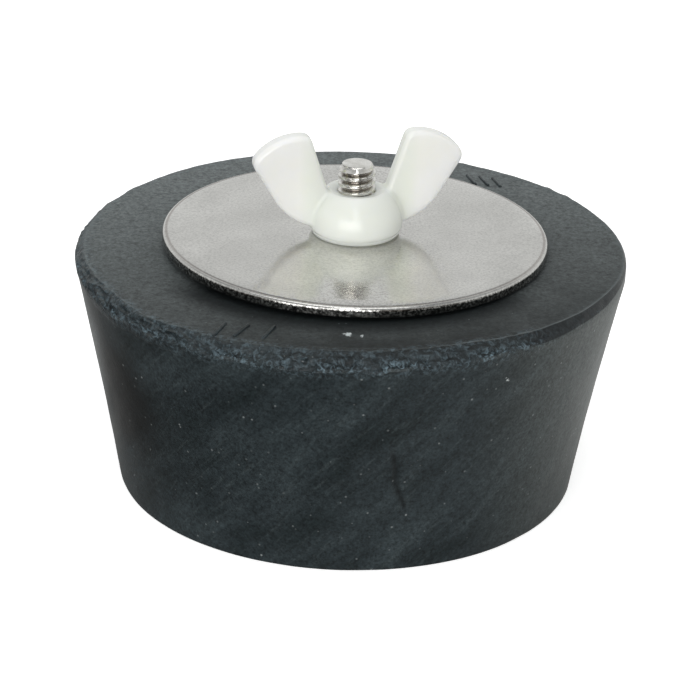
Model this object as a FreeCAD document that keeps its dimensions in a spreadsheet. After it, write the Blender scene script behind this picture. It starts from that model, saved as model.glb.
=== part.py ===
import FreeCAD, Part
import math
import os
import re
import Sketcher

# Expansion plug: a rubber taper that is squeezed between two steel plates until it
# swells and grips the inside of a pipe. A carriage bolt runs up through everything
# and a nylon wing nut on top does the squeezing.
# Millimetres. The plug stands on the small end of its rubber: the origin is the
# centre of that standing face and +Z runs up the bolt to the wing nut.

# Driving sizes: name, value, what it measures.
SIZES = [
    ("foot_diameter", 75.0, "small end of the rubber taper, the face it stands on"),
    ("rim_diameter", 90.0, "widest line of the rubber, just under its top"),
    ("rubber_height", 39.8, "standing face to the flat top of the rubber"),
    ("trim_height", 2.2, "height of the sloping band where the mould flash was trimmed"),
    ("trim_width", 1.0, "how far that band leans in"),
    ("foot_bevel", 0.6, "bevel of the rubber's lower outer edge"),
    ("seat_diameter", 57.0, "raised round seat moulded under the top plate"),
    ("seat_height", 1.2, "how far that seat stands above the flat top"),
    ("seat_bevel", 0.4, "bevel of the seat's upper edge"),
    ("rubber_hole_gap", 0.12, "side gap of the bolt in the rubber's hole"),
    ("recess_side_gap", 0.6, "side gap of the bottom plate in the rubber's recess"),
    ("recess_bevel", 0.6, "bevel of the recess mouth"),
    ("top_plate_diameter", 63.0, "stamped disc on the large end"),
    ("top_plate_thickness", 1.2, "18 gauge sheet"),
    ("plate_hole_gap", 0.25, "side gap of the bolt in the top plate's round hole"),
    ("plate_bevel", 0.35, "the edge that the stamping die rolls over"),
    ("bottom_plate_diameter", 50.8, "stamped disc in the recess of the small end"),
    ("bottom_plate_thickness", 1.2, "18 gauge sheet"),
    ("thread_diameter", 6.35, "1/4 inch bolt"),
    ("bolt_stand_out", 4.6, "bolt end above the top of the nut's hub, which makes the bolt 2 inches long"),
    ("bolt_point", 0.75, "chamfer at the bolt's tip"),
    ("head_diameter", 15.1, "dome head of the carriage bolt"),
    ("head_height", 3.2, "height of that dome"),
    ("head_edge", 0.5, "straight edge under the dome"),
    ("head_floor_gap", 0.3, "the head stops this far above the standing face"),
    ("neck_side", 6.35, "square neck under the head, side of the square"),
    ("neck_height", 4.0, "height of that neck"),
    ("neck_side_gap", 0.1, "side gap of the neck in its square holes"),
    ("neck_top_gap", 0.2, "gap above the neck in the rubber"),
    ("nut_band_diameter", 15.2, "low upright band round the foot of the wing nut"),
    ("nut_band_height", 0.65, "height of that band"),
    ("nut_foot_bevel", 0.2, "bevel of the band's lower edge"),
    ("hub_foot_diameter", 14.7, "hub of the wing nut at its foot"),
    ("hub_height", 7.5, "foot to the top of the hub"),
    ("hub_ball_radius", 7.55, "the hub's side is part of a ball about the axis"),
    ("hub_top_rounding", 0.8, "rounding round the top of the hub"),
    ("nut_bore_gap", 0.06, "running gap of the bolt in the nut, thread crest to crest"),
    ("nut_bore_chamfer", 0.3, "lead-in chamfer at both ends of the nut's bore"),
    ("wing_span", 35.0, "corner to corner over both wings, before the corners are rounded"),
    ("wing_tip_height", 17.1, "foot of the nut to the inner top corner of a wing"),
    ("wing_thickness", 3.1, "thickness of a wing"),
    ("wing_corner_height", 12.8, "foot of the nut to the outer corner of a wing"),
    ("wing_sink", 1.0, "how far the wing's lower edge starts inside the hub"),
    ("wing_root_height", 1.2, "height at which it starts"),
    ("wing_knee_out", 11.8, "where the wing's lower edge bends upwards, out from the axis"),
    ("wing_knee_height", 3.3, "height of that bend"),
    ("wing_knee_radius", 10.0, "radius of that bend"),
    ("wing_crown_radius", 9.0, "radius of the arched top edge"),
    ("wing_gap_top", 16.0, "gap between the two wings at their tips"),
    ("wing_gap_root", 9.7, "gap between the two wings where they leave the hub"),
    ("wing_outer_corner", 1.8, "rounding of the outer corner"),
    ("wing_inner_corner", 1.6, "rounding of the inner top corner"),
    ("wing_edge_rounding", 0.8, "rounding of the wing's long edges"),
    ("wing_root_rounding", 0.9, "fillet where the wings meet the hub"),
    ("wing_turn", 13.0, "how far the nut is turned as it stands, in degrees"),
]

# Places and sizes that follow from the driving ones.
DERIVED = [
    ("seat_top", "rubber_height + seat_height", "underside of the top plate"),
    ("nut_foot", "seat_top + top_plate_thickness", "upper face of the top plate"),
    ("recess_diameter", "bottom_plate_diameter + 2 * recess_side_gap", "recess in the small end"),
    ("bolt_seat", "head_floor_gap + head_height", "underside of the head, above the standing face"),
    ("recess_depth", "bolt_seat + bottom_plate_thickness", "ceiling of the recess"),
    ("hub_ball_height", "sqrt(hub_ball_radius ^ 2 - (hub_foot_diameter / 2) ^ 2)", "centre of the ball"),
    ("hub_round_rise", "hub_height - hub_top_rounding - hub_ball_height", "up to the rounding's centre"),
    ("hub_flat_out", "sqrt((hub_ball_radius - hub_top_rounding) ^ 2 - hub_round_rise ^ 2)", "flat top's radius"),
    ("hub_turn_share", "hub_ball_radius / (hub_ball_radius - hub_top_rounding)", "finds the tangent point"),
    ("hub_turn_out", "hub_flat_out * hub_turn_share", "radius at which the ball turns into the rounding"),
    ("hub_turn_height", "hub_ball_height + hub_round_rise * hub_turn_share", "height at which it does"),
    ("wing_lean", "(wing_gap_top - wing_gap_root) / 2 / (wing_tip_height - hub_height)", "slope of the gap"),
    ("wing_gap_foot", "wing_gap_root / 2 - wing_lean * hub_height / 2", "that slope's lower end"),
    ("bolt_length", "nut_foot + hub_height + bolt_stand_out - bolt_seat", "under the head to the tip"),
    ("dome_rise", "head_height - head_edge", "height of the dome alone"),
    ("dome_radius", "((head_diameter / 2) ^ 2 + dome_rise ^ 2) / (2 * dome_rise)", "its arc"),
]

doc = FreeCAD.newDocument("expansion_plug")
sheet = doc.addObject("Spreadsheet::Sheet", "Sizes")


def fill_sheet():
    """Writes every size into the sheet, one row each, with its name as the alias."""
    rows = [(name, str(number), note) for name, number, note in SIZES]
    rows += [(name, "=" + formula, note) for name, formula, note in DERIVED]
    for row, (name, content, note) in enumerate(rows, start=1):
        sheet.set(f"A{row}", name)
        sheet.set(f"B{row}", content)
        sheet.set(f"C{row}", note)
        sheet.setAlias(f"B{row}", name)
    doc.recompute()


def linked(formula):
    """Puts the sheet's name before every size that a formula mentions."""
    return re.sub("[a-z_]+", r"Sizes.\g<0>", formula)


def value(formula):
    """The number that a formula of sheet sizes gives, in millimetres or degrees."""
    return float(sheet.evalExpression(linked(formula)))


def bind(thing, prop, formula):
    thing.setExpression(prop, linked(formula))


def new_body(name, height="0", turn="0"):
    """A sub-part, standing at a height above the origin and turned about the bolt."""
    body = doc.addObject("PartDesign::Body", name)
    body.Label = name
    bind(body, "Placement.Base.z", height)
    body.Placement.Rotation = FreeCAD.Rotation(FreeCAD.Vector(0, 0, 1), value(turn))
    bind(body, "Placement.Rotation.Angle", turn)
    return body


def new_sketch(body, name, plane, height="0"):
    """An empty sketch on one of the body's own planes, lifted off it if a height is given."""
    sketch = body.newObject("Sketcher::SketchObject", name)
    origin_plane = next(item for item in body.Origin.OriginFeatures if item.Role == plane)
    sketch.AttachmentSupport = (origin_plane, [""])
    sketch.MapMode = "FlatFace"
    bind(sketch, "AttachmentOffset.Base.z", height)
    return sketch


def bound_constraint(sketch, kind, geometry, formula):
    """A dimension in a sketch that follows the sheet."""
    index = sketch.addConstraint(Sketcher.Constraint(kind, *geometry, value(formula)))
    bind(sketch, f"Constraints[{index}]", formula)


def arc_between(start, end, radius):
    """The short arc from start to end. A positive radius bulges to the right of the way there."""
    chord = end - start
    sagitta = abs(radius) - math.sqrt(radius ** 2 - chord.Length ** 2 / 4)
    side = FreeCAD.Vector(chord.y, -chord.x, 0).normalize() * math.copysign(sagitta, radius)
    return Part.Arc(start, (start + end) / 2 + side, end)


def draw_outline(sketch, corners, arcs=None):
    """Draws a closed outline through corners, each an (x, y) pair of formulas.

    The side after corner number k is straight, unless arcs[k] gives a radius formula."""
    arcs = arcs or {}
    places = [FreeCAD.Vector(value(x), value(y), 0) for x, y in corners]
    begin = []
    finish = []
    for k, place in enumerate(places):
        following = places[(k + 1) % len(places)]
        if k in arcs:
            curve = arc_between(place, following, value(arcs[k]))
            index = sketch.addGeometry(curve)
            flipped = sketch.getPoint(index, 1).distanceToPoint(place) > 1e-6
        else:
            index = sketch.addGeometry(Part.LineSegment(place, following))
            flipped = False
        begin.append((index, 2 if flipped else 1))
        finish.append((index, 1 if flipped else 2))
    for k, (x, y) in enumerate(corners):
        sketch.addConstraint(Sketcher.Constraint("Coincident", *finish[k - 1], *begin[k]))
        hold_point(sketch, begin[k], x, y)
    for k, radius in arcs.items():
        magnitude = radius.lstrip("-")
        bound_constraint(sketch, "Radius", (begin[k][0],), magnitude)


def hold_point(sketch, point, x, y):
    """Fixes a sketch point at x, y: on an axis where the formula is zero, else by a size."""
    origin = (-1, 1)
    vertical_axis = -2
    horizontal_axis = -1
    if x == "0":
        sketch.addConstraint(Sketcher.Constraint("PointOnObject", *point, vertical_axis))
    else:
        bound_constraint(sketch, "DistanceX", (*origin, *point), x)
    if y == "0":
        sketch.addConstraint(Sketcher.Constraint("PointOnObject", *point, horizontal_axis))
    else:
        bound_constraint(sketch, "DistanceY", (*origin, *point), y)


def draw_circle(sketch, radius):
    """A circle about the bolt's axis."""
    circle = Part.Circle(FreeCAD.Vector(0, 0, 0), FreeCAD.Vector(0, 0, 1), value(radius))
    index = sketch.addGeometry(circle)
    sketch.addConstraint(Sketcher.Constraint("Coincident", index, 3, -1, 1))
    bound_constraint(sketch, "Radius", (index,), radius)


def draw_square(sketch, side):
    """A square about the bolt's axis."""
    half = f"({side}) / 2"
    minus = f"-({side}) / 2"
    draw_outline(sketch, [(half, minus), (half, half), (minus, half), (minus, minus)])


def revolve(body, sketch, name):
    """Turns an outline about the bolt's axis into a solid."""
    turned = body.newObject("PartDesign::Revolution", name)
    turned.Profile = sketch
    turned.ReferenceAxis = (sketch, ["V_Axis"])
    turned.Angle = 360
    sketch.Visibility = False
    doc.recompute()
    return turned


def pad(body, sketch, name, length, both_ways=False):
    """Thickens an outline upwards, or equally to both sides of its plane."""
    block = body.newObject("PartDesign::Pad", name)
    block.Profile = sketch
    bind(block, "Length", length)
    block.Midplane = both_ways
    sketch.Visibility = False
    doc.recompute()
    return block


def pocket_up(body, sketch, name, depth):
    """Cuts an outline upwards out of the body, and checks that it did cut."""
    before = body.Shape.Volume
    cut = body.newObject("PartDesign::Pocket", name)
    cut.Profile = sketch
    cut.Reversed = True
    bind(cut, "Length", depth)
    sketch.Visibility = False
    doc.recompute()
    if not body.Shape.Volume < before:
        raise ValueError(f"{name} cut nothing")
    return cut


def soften(body, kind, name, size, chosen):
    """Rounds (Fillet) or bevels (Chamfer) the edges that the test named chosen picks."""
    base = body.Tip
    names = [f"Edge{i}" for i, edge in enumerate(base.Shape.Edges, start=1) if chosen(edge)]
    if not names:
        raise ValueError(f"{name} found no edge")
    feature = body.newObject(f"PartDesign::{kind}", name)
    feature.Base = (base, names)
    bind(feature, "Radius" if kind == "Fillet" else "Size", size)
    doc.recompute()
    if feature.Shape.isNull() or not feature.Shape.isValid():
        raise ValueError(f"{name} failed")
    return feature


def ring_at(radius, height):
    """A test for a whole circle about the axis, at a radius and a height."""
    wanted_radius = value(radius)
    wanted_height = value(height)

    def chosen(edge):
        if edge.Degenerated or not isinstance(edge.Curve, Part.Circle):
            return False
        same_height = abs(edge.Curve.Center.z - wanted_height) < 1e-4
        return same_height and abs(edge.Curve.Radius - wanted_radius) < 1e-4

    return chosen


def across_wing(out, height):
    """A test for the short straight edges across a wing's thickness at one of its corners."""
    wanted_out = value(out)
    wanted_height = value(height)

    def chosen(edge):
        if edge.Degenerated or not isinstance(edge.Curve, Part.Line):
            return False
        middle = edge.CenterOfMass
        along_thickness = abs(edge.tangentAt(edge.FirstParameter).y) > 0.999
        same_place = abs(abs(middle.x) - wanted_out) < 1e-3 and abs(middle.z - wanted_height) < 1e-3
        return along_thickness and same_place

    return chosen


def on_wing_face(edge):
    """Whether an edge borders one of the wings' two flat faces."""
    box = edge.BoundBox
    half = value("wing_thickness / 2")
    return box.YLength < 1e-4 and abs(abs(box.Center.y) - half) < 1e-3


def is_turned(face):
    """Whether a face is the hub's, which is round about the bolt, and not a wing's."""
    axis = getattr(face.Surface, "Axis", None)
    return axis is None or abs(axis.z) > 0.999


def where_wing_meets_hub(feature):
    """A test for the edges in the corner between a wing and the hub."""
    shape = feature.Shape

    def chosen(edge):
        if edge.Degenerated:
            return False
        sides = [is_turned(face) for face in shape.ancestorsOfType(edge, Part.Face)]
        return len(sides) == 2 and sides.count(True) == 1

    return chosen


def make_rubber_body():
    """The rubber taper: trimmed rim, raised seat, bolt hole, square neck hole, recess."""
    body = new_body("rubber_body")
    outline = new_sketch(body, "rubber_section", "XZ_Plane")
    draw_outline(outline, [
        ("0", "0"),
        ("foot_diameter / 2", "0"),
        ("rim_diameter / 2", "rubber_height - trim_height"),
        ("rim_diameter / 2 - trim_width", "rubber_height"),
        ("seat_diameter / 2", "rubber_height"),
        ("seat_diameter / 2", "seat_top"),
        ("0", "seat_top"),
    ])
    revolve(body, outline, "taper")
    soften(body, "Chamfer", "foot_edge", "foot_bevel", ring_at("foot_diameter / 2", "0"))
    soften(body, "Chamfer", "seat_edge", "seat_bevel", ring_at("seat_diameter / 2", "seat_top"))

    recess = new_sketch(body, "recess_outline", "XY_Plane")
    draw_circle(recess, "recess_diameter / 2")
    pocket_up(body, recess, "recess", "recess_depth")
    soften(body, "Chamfer", "recess_mouth", "recess_bevel", ring_at("recess_diameter / 2", "0"))

    neck = new_sketch(body, "neck_hole_outline", "XY_Plane", "recess_depth")
    draw_square(neck, "neck_side + 2 * neck_side_gap")
    pocket_up(body, neck, "neck_hole", "neck_height - bottom_plate_thickness + neck_top_gap")

    hole = new_sketch(body, "bolt_hole_outline", "XY_Plane", "recess_depth")
    draw_circle(hole, "thread_diameter / 2 + rubber_hole_gap")
    pocket_up(body, hole, "bolt_hole", "seat_top - recess_depth")
    return body


def make_top_plate():
    """The stamped disc that the wing nut pushes down."""
    body = new_body("top_plate", "seat_top")
    outline = new_sketch(body, "top_plate_outline", "XY_Plane")
    draw_circle(outline, "top_plate_diameter / 2")
    draw_circle(outline, "thread_diameter / 2 + plate_hole_gap")
    pad(body, outline, "top_disc", "top_plate_thickness")
    rim = ring_at("top_plate_diameter / 2", "top_plate_thickness")
    soften(body, "Chamfer", "top_rollover", "plate_bevel", rim)
    return body


def make_bottom_plate():
    """The stamped disc in the recess: its square hole stops the bolt from turning."""
    body = new_body("bottom_plate", "bolt_seat")
    outline = new_sketch(body, "bottom_plate_outline", "XY_Plane")
    draw_circle(outline, "bottom_plate_diameter / 2")
    draw_square(outline, "neck_side + 2 * neck_side_gap")
    pad(body, outline, "bottom_disc", "bottom_plate_thickness")
    rim = ring_at("bottom_plate_diameter / 2", "0")
    soften(body, "Chamfer", "bottom_rollover", "plate_bevel", rim)
    return body


def make_carriage_bolt():
    """Dome head, square neck and round shank in one forging. The thread is left plain."""
    body = new_body("carriage_bolt", "bolt_seat")
    head = new_sketch(body, "head_section", "XZ_Plane")
    draw_outline(head, [
        ("0", "-head_height"),
        ("head_diameter / 2", "-head_edge"),
        ("head_diameter / 2", "0"),
        ("0", "0"),
    ], {0: "dome_radius"})
    revolve(body, head, "dome_head")

    neck = new_sketch(body, "neck_outline", "XY_Plane")
    draw_square(neck, "neck_side")
    pad(body, neck, "square_neck", "neck_height")

    shank = new_sketch(body, "shank_outline", "XY_Plane")
    draw_circle(shank, "thread_diameter / 2")
    pad(body, shank, "shank", "bolt_length")
    soften(body, "Chamfer", "tip", "bolt_point", ring_at("thread_diameter / 2", "bolt_length"))
    return body


def make_wing_bar():
    """Both wings as one notched bar that runs through the hub, with every edge softened."""
    bar = new_body("wing_bar")
    wings = new_sketch(bar, "wings_outline", "XZ_Plane")
    right_half = [
        ("hub_foot_diameter / 2 - wing_sink", "wing_root_height"),
        ("wing_knee_out", "wing_knee_height"),
        ("wing_span / 2", "wing_corner_height"),
        ("wing_gap_top / 2", "wing_tip_height"),
        ("wing_gap_foot", "hub_height / 2"),
    ]
    left_half = [(f"-({out})", height) for out, height in reversed(right_half)]
    draw_outline(wings, right_half + left_half, {2: "wing_crown_radius", 6: "wing_crown_radius"})
    pad(bar, wings, "wings", "wing_thickness", both_ways=True)
    knee = across_wing("wing_knee_out", "wing_knee_height")
    soften(bar, "Fillet", "knees", "wing_knee_radius", knee)
    outer_corner = across_wing("wing_span / 2", "wing_corner_height")
    soften(bar, "Fillet", "outer_corners", "wing_outer_corner", outer_corner)
    inner_corner = across_wing("wing_gap_top / 2", "wing_tip_height")
    soften(bar, "Fillet", "inner_corners", "wing_inner_corner", inner_corner)
    soften(bar, "Fillet", "wing_edges", "wing_edge_rounding", on_wing_face)
    return bar


def make_wing_nut():
    """The moulded nylon nut: a bell-shaped hub with two arched wings, bored for the bolt."""
    body = new_body("wing_nut", "nut_foot", "wing_turn")
    # The hub's section stands square to the wings, so its seam stays clear of them.
    hub = new_sketch(body, "hub_section", "YZ_Plane")
    draw_outline(hub, [
        ("0", "0"),
        ("hub_foot_diameter / 2", "0"),
        ("hub_turn_out", "hub_turn_height"),
        ("hub_flat_out", "hub_height"),
        ("0", "hub_height"),
    ], {1: "hub_ball_radius", 2: "hub_top_rounding"})
    revolve(body, hub, "hub")

    join = body.newObject("PartDesign::Boolean", "join_wings")
    join.Type = "Fuse"
    join.setObjects([make_wing_bar()])
    doc.recompute()
    soften(body, "Fillet", "wing_roots", "wing_root_rounding", where_wing_meets_hub(body.Tip))

    band = new_sketch(body, "nut_band_outline", "XY_Plane")
    draw_circle(band, "nut_band_diameter / 2")
    pad(body, band, "nut_band", "nut_band_height")
    foot = ring_at("nut_band_diameter / 2", "0")
    soften(body, "Chamfer", "nut_foot_edge", "nut_foot_bevel", foot)

    bore = new_sketch(body, "nut_bore_outline", "XY_Plane")
    draw_circle(bore, "thread_diameter / 2 + nut_bore_gap")
    pocket_up(body, bore, "nut_bore", "hub_height")
    for name, height in (("lower_mouth", "0"), ("upper_mouth", "hub_height")):
        mouth = ring_at("thread_diameter / 2 + nut_bore_gap", height)
        soften(body, "Chamfer", name, "nut_bore_chamfer", mouth)
    return body


def check_document(bodies):
    """Stops if any feature failed or any sub-part isn't one valid solid."""
    failed = [item.Name for item in doc.Objects if {"Invalid", "Error"} & set(item.State)]
    if failed:
        raise ValueError(f"failed features: {failed}")
    for body in bodies:
        shape = body.Shape
        if shape.isNull() or not shape.isValid() or len(shape.Solids) != 1:
            raise ValueError(f"{body.Label} isn't one valid solid")


fill_sheet()
bodies = [
    make_rubber_body(),
    make_top_plate(),
    make_bottom_plate(),
    make_carriage_bolt(),
    make_wing_nut(),
]
doc.recompute()
check_document(bodies)
os.makedirs("parts", exist_ok=True)
for body in bodies:
    body.Shape.exportStep(f"parts/{body.Label}.step")
    box = body.Shape.BoundBox
    print(f"{body.Label}: {body.Shape.Volume / 1000:.2f} cm3, z {box.ZMin:.2f} to {box.ZMax:.2f}")
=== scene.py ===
# %% [markdown]
# # An expansion plug under soft studio light
# An expansion plug closes a drain or a pipe. Its tapered rubber sits between two steel plates,
# and a nylon wing nut on a carriage bolt squeezes the plates together until the rubber swells.
# The solid model of the plug comes in first and stays where it is. Every piece below is either
# one of its solids with a better finish, or a finer shape made to the same sizes.

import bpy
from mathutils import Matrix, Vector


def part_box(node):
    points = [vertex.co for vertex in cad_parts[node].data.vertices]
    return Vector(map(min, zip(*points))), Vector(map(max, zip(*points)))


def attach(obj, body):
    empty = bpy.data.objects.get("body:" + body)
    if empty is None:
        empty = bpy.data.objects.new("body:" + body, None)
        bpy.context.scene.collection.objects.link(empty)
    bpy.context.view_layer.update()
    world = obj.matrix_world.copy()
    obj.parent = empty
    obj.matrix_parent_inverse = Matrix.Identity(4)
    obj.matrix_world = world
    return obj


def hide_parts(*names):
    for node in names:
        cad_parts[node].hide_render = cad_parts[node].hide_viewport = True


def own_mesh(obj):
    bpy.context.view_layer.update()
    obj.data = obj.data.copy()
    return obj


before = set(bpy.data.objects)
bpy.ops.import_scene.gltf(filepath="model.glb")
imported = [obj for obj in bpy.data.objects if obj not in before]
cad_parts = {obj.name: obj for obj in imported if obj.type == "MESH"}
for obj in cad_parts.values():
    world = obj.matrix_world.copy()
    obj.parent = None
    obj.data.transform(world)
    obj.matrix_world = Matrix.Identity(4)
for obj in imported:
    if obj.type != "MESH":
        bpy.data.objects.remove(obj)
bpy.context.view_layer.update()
print("solid pieces:", sorted(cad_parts))

# %% Tools and units
import math

import bmesh
import bpy
from mathutils import Matrix, Vector, noise

MM = 0.001


def linear(hex_colour):
    """An sRGB hex colour as the linear red, green, blue and alpha that Blender shades with."""
    parts = [int(hex_colour[i:i + 2], 16) / 255 for i in (0, 2, 4)]
    curved = [c / 12.92 if c <= 0.04045 else ((c + 0.055) / 1.055) ** 2.4 for c in parts]
    return (*curved, 1.0)


print("mid grey 808080 is", round(linear("808080")[0], 3), "in linear light")

# %% [markdown]
# ## Where the camera stands
# The photograph looks down at the plug from some 25 degrees, through a long lens, so the round
# top shows as an ellipse with little perspective. The view could be set by eye, but the outline
# of a round object fixes it well: the ellipse's height gives the elevation, the taper of the
# sides and the difference between the near and far rims give the distance and the lens. The
# camera was also held a little crooked, and that roll is kept.

# %% Camera
ELEVATION = math.radians(24.27)
ROLL = math.radians(1.69)
DISTANCE = 466.4 * MM
AIM = Vector((-0.3 * MM, 0, 20.9 * MM))
SENSOR_WIDTH = 36.0
LENS = 144.2

forward = Vector((0, math.cos(ELEVATION), -math.sin(ELEVATION)))
level_right = Vector((1, 0, 0))
level_up = level_right.cross(forward)
right = level_right * math.cos(ROLL) + level_up * math.sin(ROLL)
up = level_up * math.cos(ROLL) - level_right * math.sin(ROLL)

camera_data = bpy.data.cameras.new("camera")
camera_data.sensor_width = SENSOR_WIDTH
camera_data.lens = LENS
camera_data.clip_start = 0.01
camera = bpy.data.objects.new("camera", camera_data)
bpy.context.scene.collection.objects.link(camera)
axes = Matrix((right, up, -forward)).transposed().to_4x4()
camera.matrix_world = Matrix.Translation(AIM - forward * DISTANCE) @ axes
bpy.context.scene.camera = camera
print("camera at", [round(c / MM) for c in camera.matrix_world.translation], "mm")

# %% [markdown]
# ## Materials are small networks
# Every finish below is a network of nodes round one Principled shader. One function adds a node
# with its settings and its incoming links, so that a network reads from top to bottom like a
# recipe: each line names a node and says what feeds it.


# %% Adding a node
def add_node(tree, kind, feeds=None, stops=None, **settings):
    """Adds a node to a tree. feeds are its inputs, each a socket or a value; settings are its
    properties; stops are the places and sRGB hex colours of a colour ramp."""
    node = tree.nodes.new(kind)
    for name, setting in settings.items():
        setattr(node, name, setting)
    for name, feed in (feeds or {}).items():
        socket = node.inputs[name]
        if isinstance(feed, bpy.types.NodeSocket):
            tree.links.new(feed, socket)
        else:
            socket.default_value = feed
    if stops:
        elements = node.color_ramp.elements
        for position, colour in stops[1:-1]:
            elements.new(position).color = linear(colour)
        for element, (position, colour) in ((elements[0], stops[0]), (elements[-1], stops[-1])):
            element.position = position
            element.color = linear(colour)
    return node


def new_material(name):
    """An empty material: gives it and its node tree."""
    material = bpy.data.materials.new(name)
    material.use_nodes = True
    material.node_tree.nodes.clear()
    return material, material.node_tree


def per_metre(size_mm):
    """The scale of a pattern whose blobs are about size_mm across."""
    return 1 / (size_mm * MM)


print("a 2 mm pattern needs a noise scale of", per_metre(2))

# %% [markdown]
# ## The floor and the light
# The photograph is a catalogue picture: the plug stands on white and hardly throws a shadow, yet
# its dark sides do not mirror a white floor. Such a picture is lit from above and its floor is
# cleaned to white afterwards. The floor here does the same: it is white where the camera looks
# straight at it, and to everything that it lights or mirrors in it is a grey sheet, lightest at
# the back right, as by a window, and dim at the front left. The room behind the camera is dim
# and brownish too, which gives the edge of the steel and the thread their dark lines.

# %% Floor
# It lies a hair below the plug's foot, so that two faces never share one place.
FLOOR_SIZE = 12.0
FLOOR_DROP = 0.02

floor_mesh = bmesh.new()
bmesh.ops.create_grid(floor_mesh, x_segments=1, y_segments=1, size=FLOOR_SIZE / 2)
floor_data = bpy.data.meshes.new("floor")
floor_mesh.to_mesh(floor_data)
floor_mesh.free()
floor = bpy.data.objects.new("floor", floor_data)
floor.location.z = -FLOOR_DROP * MM
bpy.context.scene.collection.objects.link(floor)
print("floor", FLOOR_SIZE, "m wide")

# %% Paper of the floor
# Where the camera looks straight at it, the paper is white and glows a little, as if cleaned.
floor_sheet, tree = new_material("white_paper_sheet")
looked_at = add_node(tree, "ShaderNodeLightPath").outputs["Is Camera Ray"]
on_sheet = add_node(tree, "ShaderNodeTexCoord").outputs["Object"]
to_window = add_node(tree, "ShaderNodeVectorMath", {
    0: on_sheet,
    1: (0.75, 0.65, 0.0),
}, operation="DOT_PRODUCT").outputs["Value"]
window_share = add_node(tree, "ShaderNodeMapRange", {
    "Value": to_window,
    "From Min": -90 * MM,
    "From Max": 60 * MM,
}).outputs["Result"]
sheet_light = add_node(tree, "ShaderNodeValToRGB", {"Fac": window_share}, stops=[
    (0.0, "5C5752"),
    (0.28, "84817E"),
    (0.42, "C6C5C3"),
    (0.67, "CBCAC8"),
    (1.0, "F2F2F0"),
]).outputs["Color"]
paper_colour = add_node(tree, "ShaderNodeMix", {
    "Factor": looked_at,
    "A": sheet_light,
    "B": linear("F4F4F3"),
}, data_type="RGBA").outputs["Result"]
cleaning = add_node(tree, "ShaderNodeMath", {0: looked_at, 1: 0.6}, operation="MULTIPLY")
sheet = add_node(tree, "ShaderNodeBsdfPrincipled", {
    "Base Color": paper_colour,
    "Roughness": 0.9,
    "Specular IOR Level": 0.1,
    "Emission Color": linear("FFFFFF"),
    "Emission Strength": cleaning.outputs[0],
})
add_node(tree, "ShaderNodeOutputMaterial", {"Surface": sheet.outputs["BSDF"]})
floor.data.materials.append(floor_sheet)
print("paper has", len(tree.nodes), "nodes")

# %% Surroundings
# One gradient runs from the front of the room to its back, and another from the floor up.
world = bpy.data.worlds.new("white_room")
world.use_nodes = True
bpy.context.scene.world = world
tree = world.node_tree
tree.nodes.clear()
direction = add_node(tree, "ShaderNodeTexCoord").outputs["Generated"]
towards = add_node(tree, "ShaderNodeSeparateXYZ", {"Vector": direction})
away_and_up = add_node(tree, "ShaderNodeMath", {
    0: towards.outputs["Z"],
    1: 1.3,
    2: towards.outputs["Y"],
}, operation="MULTIPLY_ADD").outputs[0]
depth = add_node(tree, "ShaderNodeMapRange", {
    "Value": away_and_up,
    "From Min": -0.85,
    "From Max": 0.25,
}).outputs["Result"]
room = add_node(tree, "ShaderNodeValToRGB", {"Fac": depth}, stops=[
    (0.0, "6A645F"),
    (0.35, "8C8986"),
    (0.7, "D2D2D2"),
    (1.0, "EFF0F0"),
]).outputs["Color"]
height = add_node(tree, "ShaderNodeValToRGB", {"Fac": towards.outputs["Z"]}, stops=[
    (0.0, "FFFFFF"),
    (0.45, "F6F6F6"),
    (0.7, "BEBFC0"),
    (1.0, "A3A4A6"),
]).outputs["Color"]
sky = add_node(tree, "ShaderNodeMix", {
    "Factor": 1.0,
    "A": room,
    "B": height,
}, data_type="RGBA", blend_type="MULTIPLY").outputs["Result"]
glow = add_node(tree, "ShaderNodeBackground", {"Color": sky, "Strength": 0.96})
add_node(tree, "ShaderNodeOutputWorld", {"Surface": glow.outputs["Background"]})
print("the room is brightest behind the plug and overhead")

# %% [markdown]
# Four lamps stand in that room. The large box overhead and the key above the camera light the
# tops, and a low fill beside the camera lights what stands upright. The narrow upright strip
# behind the camera is what the thread and the nut's hub mirror as one bright column.


# %% Lamps
def soft_box(name, place_mm, aim_mm, width_mm, height_mm, watts):
    """A white rectangular lamp that looks from one place at another."""
    data = bpy.data.lights.new(name, "AREA")
    data.shape = "RECTANGLE"
    data.size = width_mm * MM
    data.size_y = height_mm * MM
    data.energy = watts
    lamp = bpy.data.objects.new(name, data)
    bpy.context.scene.collection.objects.link(lamp)
    place = Vector(place_mm) * MM
    aim = (Vector(aim_mm) * MM - place).to_track_quat("-Z", "Y").to_matrix().to_4x4()
    lamp.matrix_world = Matrix.Translation(place) @ aim


soft_box("top_box", (-60, -20, 900), (0, 0, 30), 800, 700, 2.1)
soft_box("key_box", (-30, -500, 620), (0, 0, 45), 100, 90, 0.25)
soft_box("fill_box", (-170, -640, 130), (0, 0, 40), 700, 340, 2.7)
soft_box("strip_box", (0, -640, 400), (0, 0, 48), 16, 420, 0.4)
bpy.context.scene.view_settings.view_transform = "Standard"

# %% [markdown]
# ## Turned shapes
# Every piece of the plug but the wings is round about the bolt. Such a piece could be made with
# the Screw modifier from a profile, but the rubber's rim changes on its way round the axis, and
# the thread climbs. So one function lays rings of points round the axis and joins neighbouring
# rings with four-sided faces. A ring is written as a function of the angle, followed by that
# ring's own numbers, so plain, ragged and climbing rings can stand in one list.


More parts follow.
